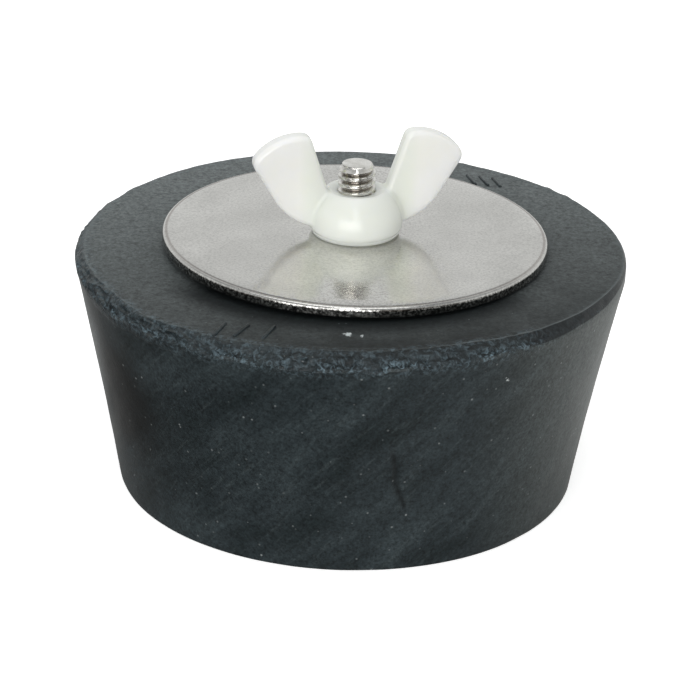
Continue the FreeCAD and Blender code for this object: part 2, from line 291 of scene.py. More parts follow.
# %% Rings round the bolt
def lay_rings(builder, rings, steps, closed=True):
    """Lays rings of points round the Z axis and joins each to the next. A ring is a function of
    the angle that gives x, y and z in mm, followed by the other numbers that it takes."""
    laid = []
    for place_of, *numbers in rings:
        places = [place_of(2 * math.pi * step / steps, *numbers) for step in range(steps)]
        laid.append([builder.verts.new(Vector(place) * MM) for place in places])
    pairs = zip(laid, laid[1:] + laid[:1]) if closed else zip(laid, laid[1:])
    for first, second in pairs:
        for step in range(steps):
            following = (step + 1) % steps
            builder.faces.new((first[step], second[step], second[following], first[following]))
    return laid


def turned_place(angle, radius, height):
    """A point of a plain turned ring."""
    return radius * math.cos(angle), radius * math.sin(angle), height


# The plate falls by this much for each millimetre to the right.
TILT = 0.0125


def tilted_place(angle, radius, height):
    """A point of a turned ring that leans down to the right, as the top plate does."""
    x, y, z = turned_place(angle, radius, height)
    return x, y, z - TILT * x


def finished(name, builder, crease_degrees=35):
    """Makes an object with smooth faces and sharp creases of what was built."""
    bmesh.ops.recalc_face_normals(builder, faces=builder.faces)
    for face in builder.faces:
        face.smooth = True
    for edge in builder.edges:
        if len(edge.link_faces) == 2:
            edge.smooth = edge.calc_face_angle() < math.radians(crease_degrees)
    data = bpy.data.meshes.new(name)
    builder.to_mesh(data)
    builder.free()
    piece = bpy.data.objects.new(name, data)
    bpy.context.scene.collection.objects.link(piece)
    triangles = sum(len(face.vertices) - 2 for face in data.polygons)
    print(name, "has", triangles, "triangles")
    return piece


# %% Points of a profile
def between(start, end, spacing):
    """Points from start up to, but not including, end, about spacing apart."""
    count = max(1, round(math.dist(start, end) / spacing))
    mixed = [[s + (e - s) * i / count for s, e in zip(start, end)] for i in range(count)]
    return [tuple(point) for point in mixed]


def rounded(centre, radius, from_degrees, to_degrees, count):
    """Points on an arc of a profile, both ends included."""
    points = []
    for i in range(count + 1):
        angle = math.radians(from_degrees + (to_degrees - from_degrees) * i / count)
        points.append((centre[0] + radius * math.cos(angle), centre[1] + radius * math.sin(angle)))
    return points


print("four points of a quarter round:", len(rounded((0, 0), 1, 0, 90, 3)))

# %% [markdown]
# ## The rubber taper
# The body is moulded black rubber. After moulding, the thin flash round the widest line was
# trimmed off with a knife. At the front left the knife tore its way along and left a ragged,
# sloping band. At the right it ran smoothly, and the band gets narrower until it ends in the
# outline. A texture could draw that band, but the outline of the rim is visibly bumpy, so the
# band is real. Its upper and lower edge are two lines round the rim, each set out by a few
# angles, and rings between the two carry the tears.

# %% Sizes of the rubber, from the solid model, in mm
rubber_low, rubber_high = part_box("rubber_body")
plate_low, plate_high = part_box("top_plate")
lower_low, lower_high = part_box("bottom_plate")
RIM = (rubber_high.x - rubber_low.x) / 2 / MM
SEAT_TOP = rubber_high.z / MM
PLATE_RADIUS = (plate_high.x - plate_low.x) / 2 / MM
RECESS_PLAY = 0.6
RECESS_RADIUS = (lower_high.x - lower_low.x) / 2 / MM + RECESS_PLAY
RECESS_DEPTH = lower_high.z / MM
SEAT_HEIGHT = 1.2
FLAT_TOP = SEAT_TOP - SEAT_HEIGHT
SEAT_RADIUS = 28.5
FOOT_RADIUS = 38.0
BAND_HEIGHT = 2.2
WIDEST_HEIGHT = FLAT_TOP - BAND_HEIGHT
HOLE_RADIUS = 3.3
LEAN_LEFT = 0.6
LEAN_FROM = 29
LEAN_OVER = 8
print("rubber: rim", round(RIM, 2), "top", round(SEAT_TOP, 2), "recess", round(RECESS_RADIUS, 2))


# %% Lines round the rim
def line_round(table):
    """A smooth line round the axis through (degrees, value) points. Gives the value at an angle."""
    points = sorted(table)
    points = points + [(points[0][0] + 360, points[0][1])]

    def value_at(angle):
        turn = (math.degrees(angle) - points[0][0]) % 360 + points[0][0]
        for (a, low_value), (b, high_value) in zip(points, points[1:]):
            if a <= turn <= b:
                share = 0.5 - 0.5 * math.cos(math.pi * (turn - a) / (b - a))
                return low_value + (high_value - low_value) * share
        return points[0][1]

    return value_at


print("half way from 1 to 3:", line_round([(0, 1), (90, 3)])(math.pi / 4))

# %% The band, set out by a few angles
# Angles are counted from the right, and the camera is at -90 degrees. The lines are: how far out
# the flat top ends, how high the moulded side begins, how torn the band is, how cleanly it is
# cut, and how thinly its upper edge is drawn out.
band_upper_radius = line_round([
    (-180, 43.5), (-159, 43.4), (-150, 43.3), (-134, 43.9), (-121, 43.4), (-94, 42.3), (-68, 41.9),
    (-53, 42.8), (-50, 43.3), (-30, 43.9), (-9, 44.5), (30, 44.2), (60, 43.8), (120, 43.8),
    (165, 43.5),
])
band_lower_height = line_round([
    (-180, 38.2), (-155, 37.4), (-125, 36.9), (-95, 37.2), (-70, 37.6), (-52, 38.0), (-30, 38.5),
    (-9, 39.1), (30, 38.6), (90, 38.4), (150, 38.4),
])
raggedness = line_round([
    (-180, 0.6), (-165, 0.9), (-150, 1.0), (-90, 1.0), (-60, 0.9), (-50, 0.6), (-44, 0.12),
    (0, 0.08), (60, 0.25), (120, 0.25), (160, 0.4),
])
clean_cut = line_round([
    (-180, 0.2), (-165, 0.3), (-60, 0.3), (-48, 1.0), (-25, 1.0), (-9, 0.6), (10, 0.2), (90, 0.15),
])
drawn_out = line_round([
    (-180, 0.8), (-160, 0.6), (-120, 0.3), (-75, 0.4), (-62, 0.9), (-15, 1.0), (10, 0.5), (90, 0.3),
])
print("band at the front:", round(band_upper_radius(-math.pi / 2), 2), "mm out")


# %% Tears of the rim
def wander(seed, angle, height, along_mm, across_mm):
    """Smooth noise from -1 to 1 on the rim, with blobs along_mm long and across_mm high. Each
    use has a seed of its own, which takes it to another part of the noise."""
    turn = RIM / along_mm
    level = height / across_mm + seed
    return noise.noise(Vector((math.cos(angle) * turn, math.sin(angle) * turn, level)))


def upper_edge(angle):
    """The radius at which the flat top ends, with the nicks of the knife."""
    nick = 0.30 * wander(21, angle, 0, 2.6, 1) + 0.22 * wander(22, angle, 0, 1.1, 1)
    return band_upper_radius(angle) + raggedness(angle) * nick


def lower_edge(angle):
    """The height at which the moulded side begins, where the tear ran out."""
    nick = 0.45 * wander(23, angle, 0, 3.2, 1) + 0.25 * wander(24, angle, 0, 1.2, 1)
    return band_lower_height(angle) + raggedness(angle) * nick


# Each is an angle in degrees, how far the rim stands out there and how many degrees wide it is.
RIM_BUMPS = [
    (148.7, 0.5, 1.3), (40.0, 0.45, 1.3), (34.0, 0.4, 1.3), (64.0, 0.25, 1.3), (-53.6, -0.6, 0.7),
    (-51.2, 0.8, 1.2),
]


def rim_bump(angle):
    """How far the cut left the rim standing proud at an angle."""
    total = 0
    for degrees, size, width in RIM_BUMPS:
        off = (math.degrees(angle) - degrees + 180) % 360 - 180
        total += size * math.exp(-(off / width) ** 2)
    return total


nicks = [upper_edge(t / 50) - band_upper_radius(t / 50) for t in range(314)]
print("the largest nick is", round(max(nicks), 2), "mm")


# %% Side of the taper
# The dent runs down through these points, each an angle in degrees and a height.
SCUFF = [(-79.9, 22.0), (-78.8, 19.3), (-79.0, 16.9), (-78.1, 15.2), (-76.3, 12.0)]
SCUFF_DEPTH = 0.4
SCUFF_WIDTH = 0.42
SIDE_HOLLOW = 0.25


def side_radius(height):
    """The radius of the moulded taper at a height. It is drawn in a trifle half way up."""
    rise = min(1.0, height / WIDEST_HEIGHT)
    drawn_in = SIDE_HOLLOW * math.sin(math.pi * rise)
    return FOOT_RADIUS + (RIM - 0.05 - FOOT_RADIUS) * rise - drawn_in


def scuff_depth(angle, height):
    """A short crooked dent low on the front, where something sharp hit the rubber."""
    # Distances start beyond the dent's reach. The side is some 40 mm out, which makes mm of angles.
    nearest = 9.0
    for (a0, z0), (a1, z1) in zip(SCUFF, SCUFF[1:]):
        share = max(0.0, min(1.0, (height - z0) / (z1 - z0)))
        line = math.radians(a0 + (a1 - a0) * share)
        across = (angle - line + math.pi) % (2 * math.pi) - math.pi
        away = math.hypot(across * 40, height - (z0 + (z1 - z0) * share))
        nearest = min(nearest, away)
    return SCUFF_DEPTH * math.exp(-(nearest / SCUFF_WIDTH) ** 2)


print("side 20 mm up:", round(side_radius(20), 2), "mm out")


# %% Points of the flat top
def skin_place(angle, radius, height):
    """A point of the outer skin, which was moulded a little to the left of the bolt."""
    lean = LEAN_LEFT * max(0.0, min(1.0, (radius - LEAN_FROM) / LEAN_OVER))
    return radius * math.cos(angle) - lean, radius * math.sin(angle), height


def flat_place(angle, share):
    """A point of the flat top. share runs from the seat, 0, to the knife's edge, 1."""
    radius = SEAT_RADIUS + (upper_edge(angle) - SEAT_RADIUS) * share
    near_edge = max(0.0, (share - 0.8) / 0.2)
    height = FLAT_TOP + 0.05 * wander(12, angle, radius, 11, 4)
    height += 0.14 * near_edge * raggedness(angle) * wander(11, angle, radius, 4, 2.2)
    height += 0.5 * rim_bump(angle) * near_edge ** 3
    return skin_place(angle, radius, height)


print("the flat top ends in front at", [round(c, 1) for c in flat_place(-math.pi / 2, 1)])

# %% Points of the knife's band
TEAR_DEPTH = 0.55
FOLD_DEPTH = 0.38
TORN_LIP = 0.16
DRAWN_LIP = 0.1


def band_place(angle, share):
    """A point of the knife's band. share runs from its upper edge, 0, to its lower edge, 1.
    Tears 3 mm long slant one way and sharp folds 2 mm long slant the other."""
    torn = raggedness(angle)
    foot = lower_edge(angle)
    radius = upper_edge(angle) + (side_radius(foot) - upper_edge(angle)) * share
    height = FLAT_TOP + (foot - FLAT_TOP) * share
    middle = math.sin(math.pi * share) ** 0.7 if share < 1 else 0.0
    tears = wander(7, angle, height - 0.4 * radius, 3.0, 0.9)
    folds = 1 - 2 * abs(wander(9, angle, height + 0.3 * radius, 2.2, 0.55))
    out = (0.1 + 0.15 * torn) * middle + torn * middle * (TEAR_DEPTH * tears + FOLD_DEPTH * folds)
    out += 0.08 * wander(3, angle, 0, 10, 5)
    out += TORN_LIP * math.exp(-((share - 1) / 0.15) ** 2) * torn * (1 + tears)
    out += DRAWN_LIP * math.exp(-(share / 0.1) ** 2) * drawn_out(angle)
    out += rim_bump(angle) * (1 - share) ** 2 * 0.4
    height += 0.55 * out + 0.12 * torn * wander(4, angle, share, 3, 0.4)
    return skin_place(angle, radius + 0.75 * out, height)


print("the middle of the band in front:", [round(c, 1) for c in band_place(-math.pi / 2, 0.5)])

# %% Points of the side and the foot
SIDE_END = 0.4
WAVES = 0.12


def side_place(angle, share):
    """A point of the moulded side. share runs from the band, 0, to just above the foot, 1."""
    foot = lower_edge(angle)
    height = foot + (SIDE_END - foot) * share
    radius = side_radius(height)
    under_band = math.exp(-((foot - height) / 1.2) ** 2)
    radius += 0.12 * raggedness(angle) * under_band * wander(8, angle, height, 2.6, 1.1)
    radius += WAVES * wander(1, angle, height, 22, 16) + 0.05 * wander(2, angle, height, 5, 5)
    radius -= scuff_depth(angle, height)
    return skin_place(angle, radius, height)


def foot_place(angle, radius, height):
    """A point of the moulded foot, whose edge is a little wavy."""
    radius += WAVES * wander(1, angle, height, 22, 16)
    height += WAVES * max(0.0, wander(6, angle, 0, 9, 9)) * (height < 0.3)
    return skin_place(angle, radius, height)


print("the side ends in front at", [round(c, 1) for c in side_place(-math.pi / 2, 1)])

# %% Rings of the rubber
# They lie close together in the band and next to it, where the tears are.
RIM_STEPS = 900
FLAT_SHARES = (0, 0.08, 0.2, 0.32, 0.44, 0.55, 0.64, 0.72, 0.79)
SIDE_SHARES = (0.008, 0.017, 0.027, 0.039, 0.053, 0.07, 0.09, 0.112)
rubber_rings = []
for start, end, spacing in (
    ((HOLE_RADIUS, SEAT_TOP), (SEAT_RADIUS - 0.5, SEAT_TOP), 9),
    ((SEAT_RADIUS - 0.5, SEAT_TOP), (SEAT_RADIUS - 0.15, SEAT_TOP - 0.15), 1),
    ((SEAT_RADIUS - 0.15, SEAT_TOP - 0.15), (SEAT_RADIUS, FLAT_TOP), 1.3),
):
    rubber_rings += [(tilted_place, *point) for point in between(start, end, spacing)]
rubber_rings += [(flat_place, share) for share in FLAT_SHARES]
rubber_rings += [(flat_place, 0.8 + 0.2 * i / 8) for i in range(1, 8)]
rubber_rings += [(band_place, i / 18) for i in range(19)]
rubber_rings += [(side_place, share) for share in SIDE_SHARES]
rubber_rings += [(side_place, 0.112 + 0.888 * i / 34) for i in range(1, 35)]
foot_corner = rounded((FOOT_RADIUS - 0.2, 0.2), 0.2, -10, -90, 3)
rubber_rings += [(foot_place, *point) for point in foot_corner]
for start, end, spacing in (
    ((FOOT_RADIUS - 2, 0), (RECESS_RADIUS + 0.8, 0), 4),
    ((RECESS_RADIUS + 0.6, 0), (RECESS_RADIUS, 0.6), 1),
    ((RECESS_RADIUS, 0.6), (RECESS_RADIUS, RECESS_DEPTH), 5),
    ((RECESS_RADIUS, RECESS_DEPTH), (HOLE_RADIUS, RECESS_DEPTH), 24),
    ((HOLE_RADIUS, RECESS_DEPTH), (HOLE_RADIUS, SEAT_TOP), 36),
):
    rubber_rings += [(turned_place, *point) for point in between(start, end, spacing)]
rubber_builder = bmesh.new()
lay_rings(rubber_builder, rubber_rings, RIM_STEPS)
print(len(rubber_rings), "rings of", RIM_STEPS, "points")

# %% [markdown]
# ## The raised strokes on the flat top
# Short raised strokes stand on the flat ring outside the plate, three at the front left and
# three at the back right. They belong to the rubber, so they are built into the same mesh: low
# rounded bars that sink a little into the flat top.

# %% Strokes
# Each runs from one point of the flat top to another, in mm from the bolt.
STROKES = [
    [(-21.0, -38.3), (-19.4, -33.5)],
    [(-17.9, -38.2), (-15.8, -33.8)],
    [(-13.5, -38.8), (-11.8, -34.0)],
    [(19.2, 33.6), (20.6, 28.9)],
    [(21.4, 33.2), (22.8, 28.6)],
    [(23.6, 32.6), (24.9, 28.2)],
]
STROKE_WIDTH = 0.62
STROKE_HEIGHT = 0.42


def raised_stroke(builder, start, end):
    """A low bar with a rounded section and round ends, lying on the flat top."""
    half_length = (math.dist(start, end) - STROKE_WIDTH) / 2
    lean = math.atan2(end[1] - start[1], end[0] - start[0])
    middle = [(s + e) / 2 for s, e in zip(start, end)]
    turn = Matrix.Rotation(lean, 4, "Z")
    ball = bmesh.ops.create_uvsphere(builder, u_segments=16, v_segments=8, radius=1.0)
    for vert in ball["verts"]:
        x, y, z = vert.co
        stretched = x * STROKE_WIDTH / 2 + (math.copysign(half_length, x) if abs(x) > 0.01 else 0)
        place = turn @ Vector((stretched, y * STROKE_WIDTH / 2, z * STROKE_HEIGHT))
        vert.co = Vector((middle[0] + place.x, middle[1] + place.y, FLAT_TOP + place.z)) * MM


for start, end in STROKES:
    raised_stroke(rubber_builder, start, end)
rubber = finished("rubber_taper", rubber_builder, 50)

# %% [markdown]
# ## Marks that the material reads
# The finish of the rubber changes from place to place: clean-cut where the knife ran, rough
# where it tore, thinly drawn out at the knife's upper edge, painted dark as the plate's shadow
# close to the front of the plate, and painted dark as shade in the dent. Masks could be painted,
# but the rings already know where each of these is, so a number from 0 to 1, for the torn skin a
# little more, is kept for each point of the mesh.


# %% Marks of the knife
def lip_share(angle, least, most):
    """How far the lower edge of the band is frayed at an angle, in patches 5 mm long."""
    return max(0.0, least + most * wander(31, angle, 0, 5, 1))


def knife_cut(angle, place_of, share):
    """1 where the knife left a clean face."""
    return clean_cut(angle) if place_of is band_place and 0.05 < share < 0.98 else 0.0


def torn_skin(angle, place_of, share):
    """1 where the band is ragged, fading out over a millimetre or so on both sides of it."""
    if place_of is band_place:
        lips = math.exp(-((share - 0.85) / 0.25) ** 2) * lip_share(angle, 0.5, 1.8)
        return raggedness(angle) * (0.5 + 1.6 * lips)
    if place_of is flat_place:
        return raggedness(angle) * max(0.0, (share - 0.9) / 0.1)
    if place_of is side_place:
        return raggedness(angle) * max(0.0, 1 - share / 0.04)
    return 0.0


def drawn_edge(angle, place_of, share):
    """1 on the thin line at the knife's upper edge, and on the torn lips of the lower one."""
    if place_of is band_place and share < 0.05:
        return drawn_out(angle)
    if place_of is band_place and share > 0.88:
        return 0.9 * raggedness(angle) * lip_share(angle, 0.2, 1.5)
    return 0.0


print("the lip is frayed", round(lip_share(-math.pi / 2, 0.5, 1.8), 2), "at the front")


# %% Marks of painted shade, and all the marks kept in the mesh
def dent_shade(angle, place_of, share):
    """1 at the bottom of the dent in the side, where shade is painted."""
    if place_of is not side_place:
        return 0.0
    foot = lower_edge(angle)
    return scuff_depth(angle, foot + (SIDE_END - foot) * share) / SCUFF_DEPTH


# How strong the plate's painted shadow is round the front of the plate, by angle.
plate_shadow_round = line_round([
    (-180, 0.0), (-150, 0.1), (-135, 1.0), (-45, 1.0), (-30, 0.1), (-10, 0.0), (90, 0.0),
])


def painted_plate_shadow(angle, place_of, share):
    """1 on the flat top close to the front of the plate, where the plate's shadow is painted."""
    if place_of is not flat_place:
        return 0.0
    radius = SEAT_RADIUS + (band_upper_radius(angle) - SEAT_RADIUS) * share
    return plate_shadow_round(angle) * max(0.0, min(1.0, (PLATE_RADIUS + 5.5 - radius) / 3.5))


def keep_marks(piece, name, mark_of):
    """Keeps a mark for each point of the rubber. The strokes, which come last, have none."""
    kept = piece.data.attributes.new(name, "FLOAT", "POINT")
    angles = [2 * math.pi * step / RIM_STEPS for step in range(RIM_STEPS)]
    marks = [mark_of(angle, ring[0], ring[1]) for ring in rubber_rings for angle in angles]
    marks += [0.0] * (len(piece.data.vertices) - len(marks))
    kept.data.foreach_set("value", marks)


# The last two marks hold painted shade: the plate's shadow on the top and the shade in the dent.
for name, mark_of in (
    ("cut", knife_cut), ("torn", torn_skin), ("drawn", drawn_edge),
    ("plate_shadow", painted_plate_shadow), ("dent_shade", dent_shade),
):
    keep_marks(rubber, name, mark_of)
print("marks:", [mark.name for mark in rubber.data.attributes if mark.data_type == "FLOAT"])

# %% [markdown]
# ## Black rubber
# The taper is compression-moulded rubber filled with carbon black. It is nearly black and has
# little gloss, and a pale film of wax and dust, called bloom, lies on it in faint slanting smears.
# The flat top is painted lighter towards the back left and the right-hand side lighter towards
# the right: bloom, and painted light and sheen. A pale patch at the far left is painted sheen,
# the top next to the front of the plate is painted dark as the plate's shadow, and the dent is
# painted dark as shade. A few pale crumbs stick to it, and the torn band shows bluish white flecks
# and painted highlights. The colours are built up in that order, from the bare rubber to what lies
# on top.

# %% Bare side of the rubber, with its smears
black_rubber, tree = new_material("moulded_black_rubber")
place = add_node(tree, "ShaderNodeTexCoord").outputs["Object"]
place_parts = add_node(tree, "ShaderNodeSeparateXYZ", {"Vector": place})

# Smears slant up to the right: space is twisted about the bolt and flattened along it.
SMEAR_SIZE = 10
twist = add_node(tree, "ShaderNodeMath", {
    0: place_parts.outputs["Z"],
    1: -0.9 / (41 * MM),
}, operation="MULTIPLY").outputs[0]
twisted = add_node(tree, "ShaderNodeVectorRotate", {
    "Vector": place,
    "Angle": twist,
}, rotation_type="Z_AXIS").outputs["Vector"]
flattened = add_node(tree, "ShaderNodeVectorMath", {
    0: twisted,
    1: (1.0, 1.0, 0.6),
}, operation="MULTIPLY").outputs["Vector"]
smears = add_node(tree, "ShaderNodeTexNoise", {
    "Vector": flattened,
    "Scale": per_metre(SMEAR_SIZE),
    "Detail": 5.0,
    "Roughness": 0.62,
    "Distortion": 0.3,
}).outputs["Fac"]
side_colour = add_node(tree, "ShaderNodeValToRGB", {"Fac": smears}, stops=[
    (0.34, "1E2628"),
    (0.5, "293134"),
    (0.68, "363F42"),
]).outputs["Color"]
print("the smears are about", SMEAR_SIZE, "mm wide")

# %% Film, painted sheen and scratches on the side
# The right-hand side is painted lighter from the front to the right: film, and painted sheen.
side_film_and_sheen = add_node(tree, "ShaderNodeMapRange", {
    "Value": place_parts.outputs["X"],
    "From Min": 16 * MM,
    "From Max": 46 * MM,
    "To Max": 0.85,
}, interpolation_type="SMOOTHSTEP").outputs["Result"]

# Fine scratches run the same way, each about 0.3 mm wide, drawn 1 mm wide so that they show.
scratch_space = add_node(tree, "ShaderNodeVectorMath", {
    0: twisted,
    1: (1.0, 1.0, 0.12),
}, operation="MULTIPLY").outputs["Vector"]
scratches = add_node(tree, "ShaderNodeTexNoise", {
    "Vector": scratch_space,
    "Scale": per_metre(1.0),
    "Detail": 3.0,
    "Roughness": 0.6,
}).outputs["Fac"]
scratch_share = add_node(tree, "ShaderNodeMapRange", {
    "Value": scratches,
    "From Min": 0.54,
    "From Max": 0.76,
    "To Max": 0.2,
}).outputs["Result"]
side_coats = [(side_film_and_sheen, "585E5C"), (scratch_share, "5C6667")]
print("so far", len(side_coats), "coats lie over the bare side")

# %% Patches with painted sheen, the dent's painted shade, and all the coats laid on
# A pale patch far round at the left is painted sheen, the narrow rim light of the left edge, and
# next to it one as large as a thumb is wiped dark. Each has a centre, the distances from it where
# the patch begins and where it is full, a strength and a colour.
for centre, begins, full, strength, colour in (
    ((-43, -7, 27), 14, 6, 0.7, "6A7072"),
    ((-36.5, -22, 21), 13, 5, 0.85, "0A0F11"),
):
    away = add_node(tree, "ShaderNodeVectorMath", {
        0: place,
        1: Vector(centre) * MM,
    }, operation="DISTANCE").outputs["Value"]
    patch = add_node(tree, "ShaderNodeMapRange", {
        "Value": away,
        "From Min": begins * MM,
        "From Max": full * MM,
        "To Max": strength,
    }, interpolation_type="SMOOTHSTEP").outputs["Result"]
    side_coats.append((patch, colour))

# The dent is painted dark: painted shade in the dent.
dent_shade_mark = add_node(tree, "ShaderNodeAttribute", attribute_name="dent_shade").outputs["Fac"]
dent_painted_shade = add_node(tree, "ShaderNodeMath", {0: dent_shade_mark, 1: 0.7}, operation="MULTIPLY").outputs[0]
side_coats.append((dent_painted_shade, "0A0D0E"))
for share, colour in side_coats:
    side_colour = add_node(tree, "ShaderNodeMix", {
        "Factor": share,
        "A": side_colour,
        "B": linear(colour),
    }, data_type="RGBA").outputs["Result"]
print("all the coats:", len(side_coats))

# %% Bloom and painted light on the flat top
# The top is a gradient from dark at the front to light at the back left: bloom, and painted light
# that falls from the back left.
across = add_node(tree, "ShaderNodeMath", {
    0: place_parts.outputs["X"],
    1: -0.27,
}, operation="MULTIPLY").outputs[0]
backwards = add_node(tree, "ShaderNodeMath", {
    0: place_parts.outputs["Y"],
    1: across,
}, operation="ADD").outputs[0]
top_cloud = add_node(tree, "ShaderNodeTexNoise", {
    "Vector": place,
    "Scale": per_metre(7),
    "Detail": 5.0,
    "Roughness": 0.6,
}).outputs["Fac"]
top_shift = add_node(tree, "ShaderNodeMapRange", {
    "Value": top_cloud,
    "From Min": 0.3,
    "From Max": 0.7,
    "To Min": -6 * MM,
    "To Max": 6 * MM,
}).outputs["Result"]
bloom_and_light_line = add_node(tree, "ShaderNodeMath", {0: backwards, 1: top_shift}, operation="ADD")
# The bloom and painted light change over this reach on either side of the middle.
BLOOM_AND_LIGHT_REACH = 44
bloom_and_light_share = add_node(tree, "ShaderNodeMapRange", {
    "Value": bloom_and_light_line.outputs[0],
    "From Min": -BLOOM_AND_LIGHT_REACH * MM,
    "From Max": BLOOM_AND_LIGHT_REACH * MM,
}).outputs["Result"]
top_bloom_and_light = add_node(tree, "ShaderNodeValToRGB", {"Fac": bloom_and_light_share}, stops=[
    (0.0, "1C2121"),
    (0.11, "343939"),
    (0.33, "484D4D"),
    (0.57, "595F5F"),
    (0.75, "616767"),
    (1.0, "6A7070"),
]).outputs["Color"]
print("the bloom thickens over", 2 * BLOOM_AND_LIGHT_REACH, "mm from front to back")

# %% Painted shadow of the plate, and the top joined to the side
# Close to the front of the plate the top is painted dark as the plate's shadow. The slope of the skin
# tells top from side.
plate_shadow = add_node(tree, "ShaderNodeAttribute", attribute_name="plate_shadow").outputs["Fac"]
top_with_plate_shadow = add_node(tree, "ShaderNodeMix", {
    "Factor": plate_shadow,
    "A": top_bloom_and_light,
    "B": linear("181D1E"),
}, data_type="RGBA").outputs["Result"]
facing = add_node(tree, "ShaderNodeNewGeometry").outputs["Normal"]
upward = add_node(tree, "ShaderNodeSeparateXYZ", {"Vector": facing}).outputs["Z"]
TOP_FROM = 0.7
on_top = add_node(tree, "ShaderNodeMapRange", {
    "Value": upward,
    "From Min": TOP_FROM,
    "From Max": 0.98,
}).outputs["Result"]
body_colour = add_node(tree, "ShaderNodeMix", {
    "Factor": on_top,
    "A": side_colour,
    "B": top_with_plate_shadow,
}, data_type="RGBA").outputs["Result"]
steepest = round(math.degrees(math.acos(TOP_FROM)))
print("bloom lies only where the skin slopes less than", steepest, "degrees")

# %% Mottling
# The skin of the mould prints a fine grain, which makes the film thin and thick. It is drawn in
# two sizes, 0.9 mm and 0.4 mm, so that it shows.
MOTTLE_SIZE = 0.9
FINE_MOTTLE_SIZE = 0.4
mottle = add_node(tree, "ShaderNodeTexNoise", {
    "Vector": place,
    "Scale": per_metre(MOTTLE_SIZE),
    "Detail": 4.0,
    "Roughness": 0.7,
}).outputs["Fac"]
fine_mottle = add_node(tree, "ShaderNodeTexNoise", {
    "Vector": place,
    "Scale": per_metre(FINE_MOTTLE_SIZE),
    "Detail": 2.0,
    "Roughness": 0.7,
}).outputs["Fac"]
both_mottles = add_node(tree, "ShaderNodeMath", {0: mottle, 1: fine_mottle}, operation="ADD")
mottle_shade = add_node(tree, "ShaderNodeMapRange", {
    "Value": both_mottles.outputs[0],
    "From Min": 0.7,
    "From Max": 1.3,
    "To Min": 0.43,
    "To Max": 1.57,
}).outputs["Result"]
mottled = add_node(tree, "ShaderNodeMix", {
    "Factor": 1.0,
    "A": body_colour,
    "B": mottle_shade,
}, data_type="RGBA", blend_type="MULTIPLY").outputs["Result"]
print("the mottling has", round(RIM * 2 * math.pi / MOTTLE_SIZE), "blobs round the rim")

# %% Crumbs
# Crumbs of 0.3 mm lie about 2 mm apart, where a slower noise lets them, and fewer on the top.
CRUMB_SPACING = 2
crumb_cells = add_node(tree, "ShaderNodeTexVoronoi", {
    "Vector": place,
    "Scale": per_metre(CRUMB_SPACING),
}, feature="F1").outputs["Distance"]
crumb_loss = add_node(tree, "ShaderNodeMapRange", {
    "Value": on_top,
    "To Max": 0.05,
}).outputs["Result"]
crumb_edge = add_node(tree, "ShaderNodeMath", {0: crumb_cells, 1: crumb_loss}, operation="ADD")
crumb = add_node(tree, "ShaderNodeMapRange", {
    "Value": crumb_edge.outputs[0],
    "From Min": 0.12,
    "From Max": 0.05,
}).outputs["Result"]
gathering = add_node(tree, "ShaderNodeTexNoise", {
    "Vector": place,
    "Scale": per_metre(5),
    "Detail": 3.0,
}).outputs["Fac"]
gathered = add_node(tree, "ShaderNodeMapRange", {
    "Value": gathering,
    "From Min": 0.34,
    "From Max": 0.68,
    "To Max": 0.4,
}).outputs["Result"]
crumbs = add_node(tree, "ShaderNodeMath", {0: crumb, 1: gathered}, operation="MULTIPLY").outputs[0]
print("where they gather, crumbs lie", CRUMB_SPACING, "mm apart")

# %% Large crumbs
# Three larger crumbs lie where the photograph shows them: two on the top and one on the side.
# The mottling breaks their outline: it adds some 1.3 mm to the distance from their middle.
LARGE_CRUMBS = [((-0.6, -36.2, 39.8), 0.7), ((1.3, -36.6, 39.8), 0.35), ((23.9, -36.8, 33.2), 0.3)]
for centre, size in LARGE_CRUMBS:
    away = add_node(tree, "ShaderNodeVectorMath", {
        0: place,
        1: Vector(centre) * MM,
    }, operation="DISTANCE").outputs["Value"]
    ragged = add_node(tree, "ShaderNodeMath", {
        0: mottle,
        1: 2.6 * MM,
        2: away,
    }, operation="MULTIPLY_ADD").outputs[0]
    large = add_node(tree, "ShaderNodeMapRange", {
        "Value": ragged,
        "From Min": (size + 1.35) * MM,
        "From Max": (size + 1.1) * MM,
        "To Max": 0.9,
    }).outputs["Result"]
    crumbs = add_node(tree, "ShaderNodeMath", {0: crumbs, 1: large}, operation="MAXIMUM").outputs[0]
dusted = add_node(tree, "ShaderNodeMix", {
    "Factor": crumbs,
    "A": mottled,
    "B": linear("CBD2D2"),
}, data_type="RGBA").outputs["Result"]
print("large crumbs:", len(LARGE_CRUMBS))

# %% The cut band
# A fresh cut is darker than the bloomed skin, and its upper edge is drawn out thin and pale.
cut = add_node(tree, "ShaderNodeAttribute", attribute_name="cut").outputs["Fac"]
torn = add_node(tree, "ShaderNodeAttribute", attribute_name="torn").outputs["Fac"]
drawn = add_node(tree, "ShaderNodeAttribute", attribute_name="drawn").outputs["Fac"]
cut_share = add_node(tree, "ShaderNodeMath", {0: cut, 1: 0.85}, operation="MULTIPLY").outputs[0]
drawn_share = add_node(tree, "ShaderNodeMath", {0: drawn, 1: 0.6}, operation="MULTIPLY").outputs[0]

